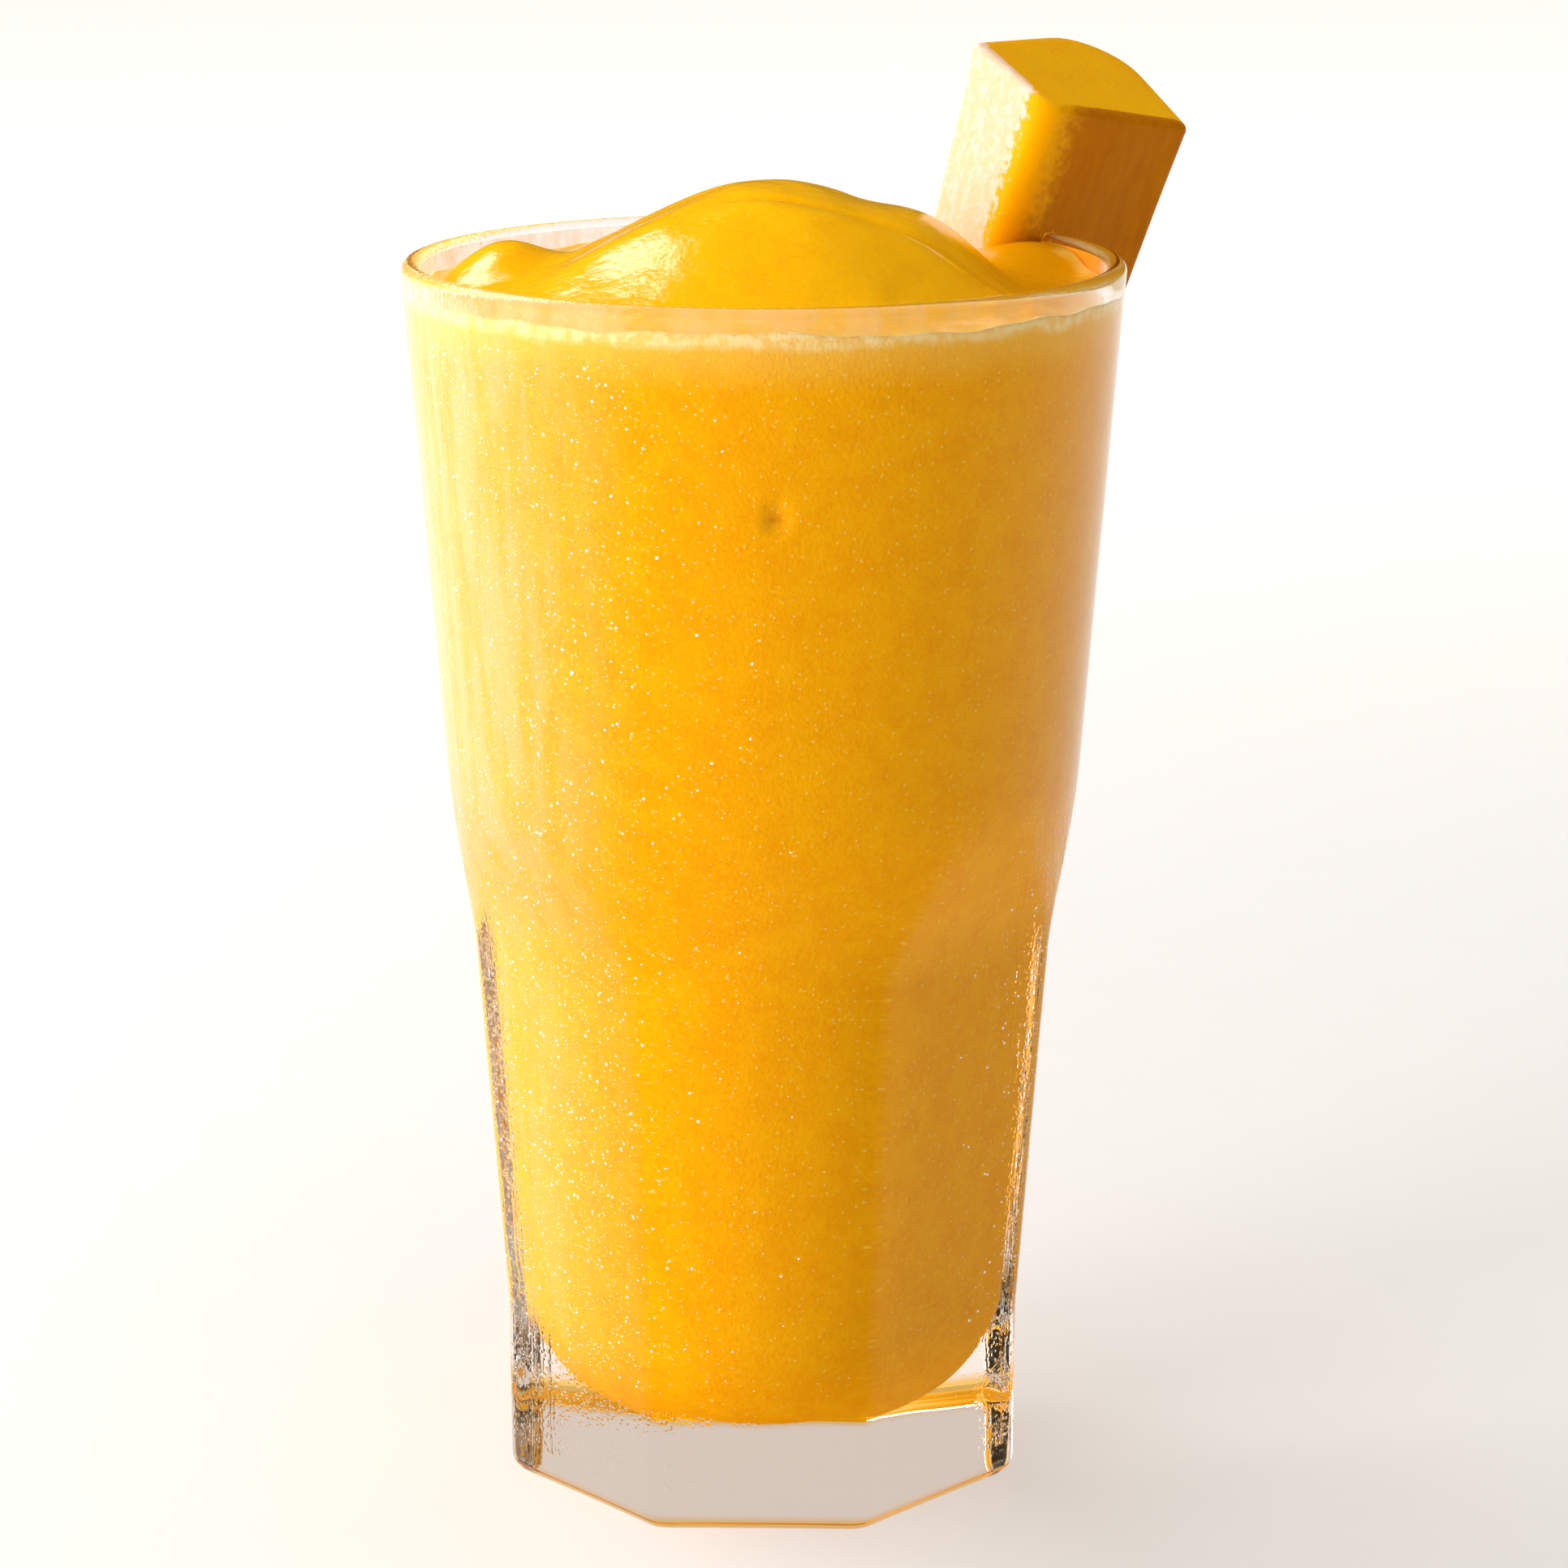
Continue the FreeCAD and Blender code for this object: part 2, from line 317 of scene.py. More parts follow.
def wall_radius(t, around, z):
    """Outside radius at an angle and height: the lesser of the round wall and the nearest facet."""
    step = 2 * np.pi / t.facets
    from_facet = (around - t.facet_turn + np.pi / 2 + step / 2) % step - step / 2
    return smooth_min(outside_radius(t, z), facet_reach(t, z) / np.cos(from_facet), t.corner_melt)


def facet_columns(t):
    """Angles of the tumbler's columns, crowded towards the corners between facets."""
    place = np.linspace(-1, 1, t.columns, endpoint=False)
    sector = (place + 0.8 * np.sin(np.pi * place) / np.pi) * np.pi / t.facets
    middles = t.facet_turn - np.pi / 2 + np.arange(t.facets) * 2 * np.pi / t.facets
    return (middles[:, None] + sector).ravel()


def cavity_path(t, step):
    """Radius and height along the inside of the glass, from the middle of its floor to the lip."""
    lip = t.rim_radius - t.rim_wall
    corners = [(0, t.base), (facet_apothem(t, 0) - t.facet_wall, t.base),
               (facet_apothem(t, t.waist_low) - t.facet_wall, t.waist_low),
               (outside_radius(t, t.waist_high) - t.rim_wall, t.waist_high),
               (lip, GLASS_HEIGHT - t.rim_wall / 2)]
    return rounded_path(corners, [0, t.cavity_corner, t.cavity_blend, t.cavity_blend, 0], step)


WAIST_MARGIN = 0.006  # how far past the waist the rings stay close together
WALL_STEP = 0.002
WAIST_STEP = 0.0008
CAVITY_STEP = 0.0018
FIRST_MISTED_RING = 20  # the first ring above the rounded bottom edge


def tumbler_rings(t):
    """Rings from the middle of the underside out, up the outside, over the lip and down inside.

    Returns the rings and how many of them are outside.
    """
    around = facet_columns(t)
    lip_radius = t.rim_wall / 2
    lip_height = GLASS_HEIGHT - lip_radius
    under = np.linspace(0.05, 1, 12)[:-1]
    turn = np.linspace(0, np.pi / 2, 9)[:-1]
    low, high = t.waist_low - WAIST_MARGIN, t.waist_high + WAIST_MARGIN
    wall = np.concatenate([stretch(t.heel_radius, low, WALL_STEP), stretch(low, high, WAIST_STEP),
                           stretch(high, lip_height, WALL_STEP)])
    heights = np.concatenate([0 * under, t.heel_radius * (1 - np.cos(turn)), wall])[:, None]
    inset = np.concatenate([0 * under + t.heel_radius, t.heel_radius * (1 - np.sin(turn)), 0 * wall])[:, None]
    shares = np.concatenate([under, 0 * turn + 1, 0 * wall + 1])[:, None]
    outside = turned((wall_radius(t, around, heights) - inset) * shares, heights, around)

    half = (outside_radius(t, lip_height) - t.rim_radius + t.rim_wall) / 2
    over = np.linspace(0, np.pi, 15)[:-1, None]
    lip = turned(t.rim_radius - t.rim_wall + half * (1 + np.cos(over)), lip_height + lip_radius * np.sin(over),
                 around)
    inside = cavity_path(t, CAVITY_STEP)[:0:-1]
    inner = turned(inside[:, :1], inside[:, 1:], around)
    return np.concatenate([outside, lip, inner]), len(outside) + len(lip)


# Drink

DRINK_STEP = 0.0012  # between rings against the glass
HEAP_CENTRE = (1.5, -1.0)  # in millimetres, as are the hills
SHOULDER = ((20.5, -4.0), 11.0, 16.0)  # centre, reach to the side, reach to the front
LOBE = ((-31.5, 4.0), 9.5, 14.0)
LAP = ((32.5, 17.5), 13.0, 12.0)
EDGE_WAVES = ((0.22, 3, 1), (0.2, 7, 0), (0.14, 17, 2), (0.1, 31, 4))  # height, waves round, start
PIT_REACH = (0.0021, 0.0014)
PIT_DEPTH = 0.0012
PIT_HEIGHT = 0.1262
PIT_ASIDE = 0.0015  # to the right of the middle of the front
PIT_AXIS = 0.040  # radius of the drink there
FILM_BELOW_LEVEL = 0.0008
FILM_BELOW_RIM = 0.0009
FILM_FACES = (0.00002, 0.00016)  # how far its two faces lie from the glass


def hill(x, y, centre, reach_x, reach_y, fullness=0.0):
    """A smooth hill of height 1 over an oval: half a cosine wave, with a fuller dome towards the front."""
    x, y = (x - centre[0]) / reach_x, (y - centre[1]) / reach_y
    distance = np.minimum(np.hypot(x, y), 1)
    wave = (1 + np.cos(np.pi * distance)) / 2
    front = fullness * smooth_step(-y / np.maximum(distance, 1e-6), 0.05, 0.65)
    return wave + front * ((1 - distance ** 2) ** 1.5 - wave)


def heap_height(s, x, y):
    """Height of the drink's surface: its level, four hills, a crease with a swelling, and ripples."""
    x, y = x / MM, y / MM
    reach = np.where(x < HEAP_CENTRE[0], s.heap_left, s.heap_right) / MM
    height = s.heap_height * hill(x, y, HEAP_CENTRE, reach, s.heap_depth / MM, 0.9)
    height += s.shoulder_height * hill(x, y, *SHOULDER)
    height += s.lobe_height * hill(x, y, *LOBE)
    height += s.lap_height * hill(x, y, *LAP)
    along = smooth_step(x, -7, 1) * (1 - smooth_step(x, 30, 35))
    from_crease = y + 9 + 0.17 * (x + 4) + 0.0017 * (x + 4) ** 2
    crease = 0.75 * np.exp(-((from_crease + 3.4) / 2.6) ** 2) - np.exp(-(from_crease / 0.75) ** 2)
    height += s.fold_depth * along * crease
    clear_of_wall = 1 - smooth_step(np.hypot(x, y), 34, 40)
    height += clear_of_wall * (0.16 * ripples(x, y, 15, 3) + 0.03 * ripples(x, y, 6, 4)) * MM
    return GLASS_HEIGHT - s.below_rim + height


def edge_wave(around):
    """Uneven height of the line where the drink meets the glass: a sum of sine waves round it."""
    return sum(high * np.sin(waves * around + start) for high, waves, start in EDGE_WAVES) * MM


def smoothie_rings(t, s):
    """Rings from the middle of the bottom out and up the wall, then in over the heap.

    Returns the rings and how many of them lie against the glass.
    """
    around = np.linspace(0, 2 * np.pi, s.columns, endpoint=False)
    level = GLASS_HEIGHT - s.below_rim
    path = cavity_path(t, DRINK_STEP)[2:]
    ahead = np.gradient(path, axis=0)
    ahead /= np.linalg.norm(ahead, axis=1)[:, None]
    path = path + s.bite * np.stack([ahead[:, 1], -ahead[:, 0]], axis=1)
    path = path[path[:, 1] < level]
    top = np.array([[np.interp(level, path[:, 1], path[:, 0]) + t.taper * (level - path[-1, 1]), level]])
    path = np.concatenate([path, top])
    height = path[:, 1:] + edge_wave(around) * smooth_step(path[:, 1:], level - 0.004, level)
    radius = path[:, :1] - crater(around, height)
    wall = turned(radius, height, around)

    shares = 1 - np.linspace(0, 1, 86)[1:-1, None]
    across = turned(top[0, 0] * shares, 0, around)
    surface = heap_height(s, across[..., 0], across[..., 1]) + edge_wave(around) * smooth_step(shares, 0.93, 1)
    across[..., 2] = surface
    return np.concatenate([wall, across]), len(wall)


def crater(around, height):
    """Depth of a small pocket of air against the front of the glass: a smooth round pit."""
    across = ((around + np.pi / 2 + np.pi) % (2 * np.pi) - np.pi) * PIT_AXIS - PIT_ASIDE
    distance = np.hypot(across / PIT_REACH[0], (height - PIT_HEIGHT) / PIT_REACH[1])
    return PIT_DEPTH * (1 - smooth_step(distance, 0.3, 1.0))


def film_rings(t, s):
    """A closed hoop of thin film on the inside wall, from under the level to just below the lip."""
    around = np.linspace(0, 2 * np.pi, s.columns, endpoint=False)
    level = GLASS_HEIGHT - s.below_rim
    heights = np.linspace(level - FILM_BELOW_LEVEL, GLASS_HEIGHT - FILM_BELOW_RIM, 12)[:, None]
    path = cavity_path(t, DRINK_STEP)
    inside = np.interp(heights, path[:, 1], path[:, 0])
    near = turned(inside - FILM_FACES[0], heights, around)
    far = turned(inside[::-1] - FILM_FACES[1], heights[::-1], around)
    return np.concatenate([near, far])


# Spear

# Sections in millimetres, from the near corner round by the right and the back
SECTION_TOP = [(0.0, 0.0), (21.6, 0.0), (21.8, 24.5), (-2.9, 15.4)]
SECTION_FOOT = [(-1.0, 0.0), (19.0, 0.0), (16.2, 18.5), (0.4, 13.0)]
SECTION_RADII = [3.0, 1.0, 8.0, 1.2]
SEAT = (4.7, 9.65)  # the point of the section that rests on the lip
SIDE = 36  # points along a side
ARC = 11  # points round a corner
HALF_SIDE = 18  # points along half of the left side
SIDES = ("left", "right")  # names of the mesh's values that say how far the near edge is
BELOW_FOOT = 0.004  # how far the slit's cutter goes past the foot


def spear_section(corners):
    """Closed outline of one section, with the same count of points on each side and corner.

    Starts at the middle of the left side and runs by the near corner, the right and the back.
    """
    corners = np.array(corners) * MM
    middle = (corners[3] + corners[0]) / 2
    parts = []
    for index, radius in enumerate(SECTION_RADII):
        arc = corner_arc(corners[index - 1], corners[index], corners[(index + 1) % 4], radius * MM, ARC)
        if index == 0:
            start, shares = middle, np.linspace(0, 1, HALF_SIDE + 1)[:-1]
        else:
            start, shares = parts[-1][-1], np.linspace(0, 1, SIDE + 2)[1:-1]
        parts += [start + (arc[0] - start) * shares[:, None], arc]
    parts.append(parts[-1][-1] + (middle - parts[-1][-1]) * np.linspace(0, 1, HALF_SIDE + 1)[1:-1, None])
    return np.concatenate(parts)


def spear_turn(p):
    """The spear's turn about its own length, then its lean to the front, then to the right."""
    return (Matrix.Rotation(p.lean_right, 3, "Y") @ Matrix.Rotation(p.lean_front, 3, "X")
            @ Matrix.Rotation(p.turn, 3, "Z"))


def spear_placement(t, p):
    """Matrix from the section's own axes to the frame: the seat point comes to rest on the lip."""
    turn = spear_turn(p)
    ring = t.rim_radius - t.rim_wall / 2
    seat = Vector((math.cos(p.azimuth) * ring, math.sin(p.azimuth) * ring, GLASS_HEIGHT))
    own = Vector((SEAT[0] * MM, SEAT[1] * MM, -p.above_rim))
    return turn, seat - turn @ own


def spear_rings(p):
    """Rings from the middle of the foot out, up the four sides and in over the sloping top.

    Each ring is a straight blend of the foot and top sections, drawn in at both ends by a quarter
    circle. Returns the rings in the spear's own axes, and each point's distance from the near edge
    over the left and over the right side.
    """
    top, foot = spear_section(SECTION_TOP), spear_section(SECTION_FOOT)
    inner = np.linspace(0.04, 1, 13)[:-1]
    turn = np.linspace(0, np.pi / 2, 6)
    sides = np.linspace(0, 1, 76) * (1 - 2.6 * p.edge / p.length) + 1.3 * p.edge / p.length
    up = np.concatenate([0 * inner, 0 * turn, sides, 0 * turn + 1, 0 * inner + 1])[:, None]
    inset = p.edge * np.concatenate([0 * inner + 1, 1 - np.sin(turn), 0 * sides, 1 - np.cos(turn), 0 * inner + 1])
    rise = p.edge * np.concatenate([0 * inner, 1 - np.cos(turn), 0 * sides, np.sin(turn) - 1, 0 * inner])
    shares = np.concatenate([inner, 0 * turn + 1, 0 * sides + 1, 0 * turn + 1, inner[::-1]])[:, None, None]
    along = -p.length + up * (p.length + p.top_rise * top[:, 1])
    outline = foot + (top - foot) * ((along + p.length) / p.length)[..., None]
    ahead = np.roll(outline, -1, axis=1) - np.roll(outline, 1, axis=1)
    ahead /= np.linalg.norm(ahead, axis=-1)[..., None]
    outwards = np.stack([ahead[..., 1], -ahead[..., 0]], axis=-1)
    clear_of_ends = smooth_step(up, 0.0, 0.08) * (1 - smooth_step(up, 0.92, 1.0))
    bulge = 0.25 * MM * ripples(along, outline[..., 0] * 2, 0.024, 5) * clear_of_ends
    moved = outwards * (bulge - inset[:, None])[..., None]
    outline = outline + moved
    along = along + p.top_rise * up * moved[..., 1]
    points = np.concatenate([outline, (along + rise[:, None])[..., None]], axis=-1)
    middle = points.mean(axis=1, keepdims=True)
    points = middle + (points - middle) * shares
    near = HALF_SIDE + ARC // 2
    from_near = np.linalg.norm(outline - outline[:, near:near + 1], axis=-1)
    from_near[-len(inner):] = 0
    left, right = from_near.copy(), from_near.copy()
    left[:, near:-HALF_SIDE - ARC] = 0
    right[:, :near] = 0
    right[:, near + SIDE + ARC:] = 0
    return points, left, right


def slit_rings(t, p):
    """A closed hoop a clearance wider than the glass wall, round over the lip, down past the spear's foot."""
    around = np.linspace(0, 2 * np.pi, 360, endpoint=False)
    bottom = GLASS_HEIGHT - p.length - BELOW_FOOT
    half = t.rim_wall / 2
    lip = GLASS_HEIGHT - half
    fall = t.taper * (lip - bottom)
    over = np.linspace(np.pi, 0, 13)[::-1]
    middle = t.rim_radius - half
    radii = np.concatenate([[middle - half - p.slit_clearance - fall, middle + half + p.slit_clearance - fall],
                            middle + (half + p.slit_clearance) * np.cos(over)])[:, None]
    heights = np.concatenate([[bottom, bottom], lip + (half + p.slit_clearance) * np.sin(over)])[:, None]
    return turned(radii, heights, around)


# Materials

def node(tree, kind, inputs=None, **options):
    """A new shader node with its options set, and each input given a value or linked to a socket."""
    made = tree.nodes.new(kind if kind.startswith("NodeGroup") else "ShaderNode" + kind)
    for key, value in options.items():
        setattr(made, key, value)
    for key, value in (inputs or {}).items():
        if isinstance(value, bpy.types.NodeSocket):
            tree.links.new(value, made.inputs[key])
        else:
            made.inputs[key].default_value = value
    return made


def maths(operation, first, second=0.0, third=0.0):
    """The result socket of a Math node."""
    return node(first.id_data, "Math", {0: first, 1: second, 2: third}, operation=operation).outputs[0]


def times(first, second):
    """The product of two values."""
    return maths("MULTIPLY", first, second)


def plus(first, second):
    """The sum of two values."""
    return maths("ADD", first, second)


def axes_of(point):
    """The X, Y and Z outputs of a point."""
    return node(point.id_data, "SeparateXYZ", {0: point}).outputs


def feed(shader, **sockets):
    """Links sockets to a shader's inputs, which are named in lower case with underscores."""
    for name, socket in sockets.items():
        shader.id_data.links.new(socket, shader.inputs[name.replace("_", " ").title()])


def cells(vector, scale):
    """Distance to the middle of the nearest of many small cells."""
    return node(vector.id_data, "TexVoronoi", {"Vector": vector, "Scale": scale}).outputs["Distance"]


def length_of(vector):
    """The length of a vector."""
    return node(vector.id_data, "VectorMath", {0: vector}, operation="LENGTH").outputs["Value"]


def ramped(value, low, high, to_low=0.0, to_high=1.0):
    """A value taken smoothly from one range to another."""
    inputs = {"Value": value, "From Min": low, "From Max": high, "To Min": to_low, "To Max": to_high}
    return node(value.id_data, "MapRange", inputs, interpolation_type="SMOOTHSTEP").outputs["Result"]


def mixed(factor, first, second):
    """A colour between two colours."""
    tree = factor.id_data
    made = node(tree, "Mix", {0: factor}, data_type="RGBA")
    for index, value in ((6, first), (7, second)):
        if isinstance(value, bpy.types.NodeSocket):
            tree.links.new(value, made.inputs[index])
        else:
            made.inputs[index].default_value = (*value, 1)
    return made.outputs[2]


def noise(vector, scale, detail=2.0, roughness=0.5):
    """Noise of a given scale per metre."""
    inputs = {"Vector": vector, "Scale": scale, "Detail": detail, "Roughness": roughness}
    return node(vector.id_data, "TexNoise", inputs).outputs["Fac"]


def bumped(height, distance, normal=None):
    """A normal raised by a height times a distance in metres."""
    inputs = {"Height": height, "Distance": distance, "Strength": 1.0}
    if normal is not None:
        inputs["Normal"] = normal
    return node(height.id_data, "Bump", inputs).outputs["Normal"]


def stretched(vector, scale, turn=(0, 0, 0)):
    """A point turned about the origin, then scaled along each axis."""
    return node(vector.id_data, "Mapping", {"Vector": vector, "Rotation": turn, "Scale": scale}).outputs[0]


def new_material(name, **values):
    """A material, its Principled BSDF with its uniform inputs set, and the point on the piece, in metres."""
    material = bpy.data.materials.new(name)
    material.use_nodes = True
    shader = material.node_tree.nodes["Principled BSDF"]
    for key, value in values.items():
        shader.inputs[key.replace("_", " ").title().replace("Ior", "IOR")].default_value = value
    return material, shader, node(material.node_tree, "TexCoord").outputs["Object"]


def let_light_through(shader):
    """Lets lamps and bounced light pass straight through glass or water."""
    tree = shader.id_data
    path, clear = node(tree, "LightPath").outputs, node(tree, "BsdfTransparent").outputs[0]
    light = shader.outputs[0]
    for ray in ("Is Diffuse Ray", "Is Shadow Ray"):
        light = node(tree, "MixShader", {0: path[ray], 1: light, 2: clear}).outputs[0]
    tree.links.new(light, tree.nodes["Material Output"].inputs["Surface"])


def pulp_group():
    """Shader group: fine fruit pulp as a grain mask, a fleck mask and a height."""
    if "Fruit pulp" in bpy.data.node_groups:
        return bpy.data.node_groups["Fruit pulp"]
    group = bpy.data.node_groups.new("Fruit pulp", "ShaderNodeTree")
    group.interface.new_socket("Vector", in_out="INPUT", socket_type="NodeSocketVector")
    group.interface.new_socket("Flecks", in_out="INPUT", socket_type="NodeSocketFloat")
    for name in ("Grain", "Fleck", "Height"):
        group.interface.new_socket(name, in_out="OUTPUT", socket_type="NodeSocketFloat")
    given = node(group, "NodeGroupInput").outputs
    coarse = noise(given["Vector"], 260, 4.0, 0.6)
    fine = noise(given["Vector"], 2100, 3.0, 0.6)
    seeds = cells(given["Vector"], 900.0)
    grain = ramped(plus(times(coarse, 0.45), times(fine, 0.55)), 0.32, 0.68)
    fleck = times(ramped(seeds, 0.22, 0.08), given["Flecks"])
    height = plus(fine, times(fleck, 0.5))
    node(group, "NodeGroupOutput", {"Grain": grain, "Fleck": fleck, "Height": height})
    return group


def pulp(vector, flecks):
    """The pulp group placed in a material."""
    made = vector.id_data.nodes.new("ShaderNodeGroup")
    made.node_tree = pulp_group()
    made.inputs["Flecks"].default_value = flecks
    vector.id_data.links.new(vector, made.inputs["Vector"])
    return made.outputs


WARM_GLOSS = (1.0, 0.6, 0.06, 1.0)
GLASS_TINT = (1.0, 0.95, 0.90)
# painted reflection: the drink's colour, painted into the glass along its bottom edge
DRINK_REFLECTION_PAINT = (1.0, 0.46, 0.03)
DRINK_REFLECTION_BAND = (0.0030, 0.0014)  # heights between which the painted reflection of the drink sets in
WET_LEFT = (0.010, -0.036)  # X between which the mist thickens
WET_RIGHT = (0.024, 0.032)
WET_BELOW = (0.090, 0.080)  # heights between which the mist at the right sets in
MILKY, CLEAR = (1.0, 0.93, 0.80), (1.0, 1.0, 0.97)
PAINTED_LIGHT_LEFT = (1.0, 0.52, 0.24)  # painted light: the drink paler at the left, where the window light falls on it through the wet glass
# X between which the painted light at the left sets in
PAINTED_LIGHT_LEFT_FROM = (-0.013, -0.036)
FROTH = (1.0, 0.78, 0.36)
SHADED = (0.70, 0.26, 0.001)  # the drink in the spear's shade
SHADED_FROM = (0.020, 0.034)
FROTH_RING = (0.0400, 0.0425)  # radii between which the froth by the wall sets in
FILM_THICK, FILM_THIN = (1.0, 0.66, 0.24), (1.0, 0.72, 0.38)
SCATTER = (1.0, 0.45, 0.05)
FLESH_SCATTER = (1.0, 0.4, 0.05)
FLOOR_GLOW_NEAR, FLOOR_GLOW_FAR = (0.24, 0.235, 0.23), (0.80, 0.78, 0.76)
FLOOR_GLOW_FROM = (0.05, 1.2)
ROOM_THROUGH, ROOM_SEEN, ROOM_REFLECTED = (1.0, 0.91, 0.82), (1.0, 0.985, 0.965), (1.0, 0.62, 0.11)


def painted_foot_reflection(shader, point):
    """Painted reflection: glass painted the colour of the drink along its bottom edge, where the heel mirrors the
    drink.
    """
    feed(shader, base_color=mixed(ramped(axes_of(point)["Z"], *DRINK_REFLECTION_BAND), GLASS_TINT, DRINK_REFLECTION_PAINT))


def wavy(point):
    """The normal of pressed glass, which is never quite even."""
    return bumped(noise(point, 45, 2.0), 0.0002)


def clear_glass():
    """Clear pressed glass, faintly wavy."""
    material, shader, point = new_material("clear glass", transmission_weight=1.0, ior=1.5, roughness=0.0,
                                           specular_tint=WARM_GLOSS)
    feed(shader, normal=wavy(point))
    painted_foot_reflection(shader, point)
    let_light_through(shader)
    return material


def misted_glass():
    """The outside of the glass: clear, with runs and a fine mist of water, at the left and low at the right."""
    material, shader, point = new_material("misted glass", transmission_weight=1.0, ior=1.5,
                                           specular_tint=WARM_GLOSS)
    axes = axes_of(point)
    right = times(ramped(axes["X"], *WET_RIGHT), ramped(axes["Z"], *WET_BELOW))
    wet = maths("MAXIMUM", ramped(axes["X"], *WET_LEFT), right)
    runs = noise(stretched(point, (1, 1, 0.06)), 420, 3.0, 0.6)
    run_mask = times(ramped(runs, 0.45, 0.75), wet)
    bead_mask = times(ramped(cells(point, 1500.0), 0.5, 0.1), wet)
    normal = bumped(run_mask, 0.00008, wavy(point))
    feed(shader, normal=bumped(bead_mask, 0.00003, normal), roughness=ramped(run_mask, 0.0, 1.0, 0.0, 0.16))
    painted_foot_reflection(shader, point)
    let_light_through(shader)
    return material


def water():
    """Fine drops of water, milky where the light gathers in them."""
    material, shader, point = new_material("water drops", transmission_weight=0.3, ior=1.33, roughness=0.5)
    feed(shader, base_color=mixed(noise(point, 900, 1.0), MILKY, CLEAR))
    let_light_through(shader)
    return material


def smoothie_colour(s, point, flecks, dark, light):
    """Colour and height of the drink: pulp between two colours, with pale flecks."""
    texture = pulp(point, flecks)
    base = mixed(texture["Grain"], dark, light)
    return mixed(texture["Fleck"], base, s.pale), texture["Height"]


def smoothie_wall(s):
    """The drink where it lies against the glass, with a line of froth along its top and painted light that pales
    it in upright streaks towards the left.
    """
    material, shader, point = new_material("smoothie in the glass", roughness=0.8, specular_ior_level=0.0)
    base, height = smoothie_colour(s, point, 0.5, s.deep, s.flesh)
    level = GLASS_HEIGHT - s.below_rim
    uneven = times(noise(stretched(point, (1, 1, 0.3)), 230, 3.0), 0.0022)
    height_here = plus(axes_of(point)["Z"], uneven)
    runs = noise(stretched(point, (1, 1, 0.15)), 330, 4.0, 0.6)
    streaks = ramped(runs, 0.35, 0.65, 0.35, 1.0)
    # Painted light: paler colour in upright streaks towards the left, where the window light falls through the
    # wet glass.
    left = ramped(axes_of(point)["X"], *PAINTED_LIGHT_LEFT_FROM)
    veil = times(times(left, streaks), 0.75)
    tone = mixed(veil, base, PAINTED_LIGHT_LEFT)
    fading = times(ramped(height_here, level - 0.0060, level + 0.0002), 0.35)
    froth = times(ramped(height_here, level - 0.0010, level + 0.0005),
                  ramped(noise(point, 700, 3.0), 0.35, 0.6, 0.35, 0.9))
    tone = mixed(fading, tone, s.pale)
    feed(shader, base_color=mixed(froth, tone, FROTH), normal=bumped(height, 0.00012))
    return material


def smoothie_top(s):
    """The open surface of the drink, wet and softly lumpy, painted lighter than the drink against the glass for
    the light that falls on its top, and painted darker in the spear's shade.
    """
    material, shader, point = new_material("smoothie surface", subsurface_weight=0.3, subsurface_scale=0.004,
                                           specular_ior_level=0.5, ior=1.38)
    shader.inputs["Subsurface Radius"].default_value = SCATTER
    # painted light: pulp between the drink's colour and its lighter copy for the lit top
    base, height = smoothie_colour(s, point, 0.2, s.flesh, s.lit_top)
    reach = length_of(stretched(point, (1, 1, 0)))
    uneven = times(noise(point, 300, 3.0), 0.004)
    froth = ramped(plus(reach, uneven), *FROTH_RING, 0.0, 0.6)
    by_spear = ramped(axes_of(point)["X"], *SHADED_FROM, 0.0, 0.75)
    base = mixed(by_spear, base, SHADED)
    lumps = noise(point, 210, 3.0, 0.5)
    feed(shader, base_color=mixed(froth, base, s.pale), roughness=ramped(lumps, 0.3, 0.7, 0.07, 0.13),
         normal=bumped(height, 0.00004, bumped(lumps, 0.00034)))
    return material


def froth_film(s):
    """A thin cloudy film, thinner where it has drained in vertical drips, and opaque beside the spear."""
    material, shader, point = new_material("drink film", roughness=0.35)
    drips = noise(stretched(point, (1, 1, 0.35)), 260, 3.0, 0.55)
    spots = noise(point, 900, 2.0)
    both = plus(times(drips, 0.7), times(spots, 0.3))
    axes = axes_of(point)
    by_spear = times(ramped(axes["X"], 0.020, 0.027), ramped(axes["Y"], -0.002, 0.008))
    veil = ramped(both, 0.30, 0.72, 0.12, 0.34)
    tone = mixed(ramped(both, 0.35, 0.65), FILM_THICK, FILM_THIN)
    feed(shader, alpha=maths("MAXIMUM", veil, by_spear), base_color=mixed(by_spear, tone, s.deep),
         normal=bumped(both, 0.00002))
    return material


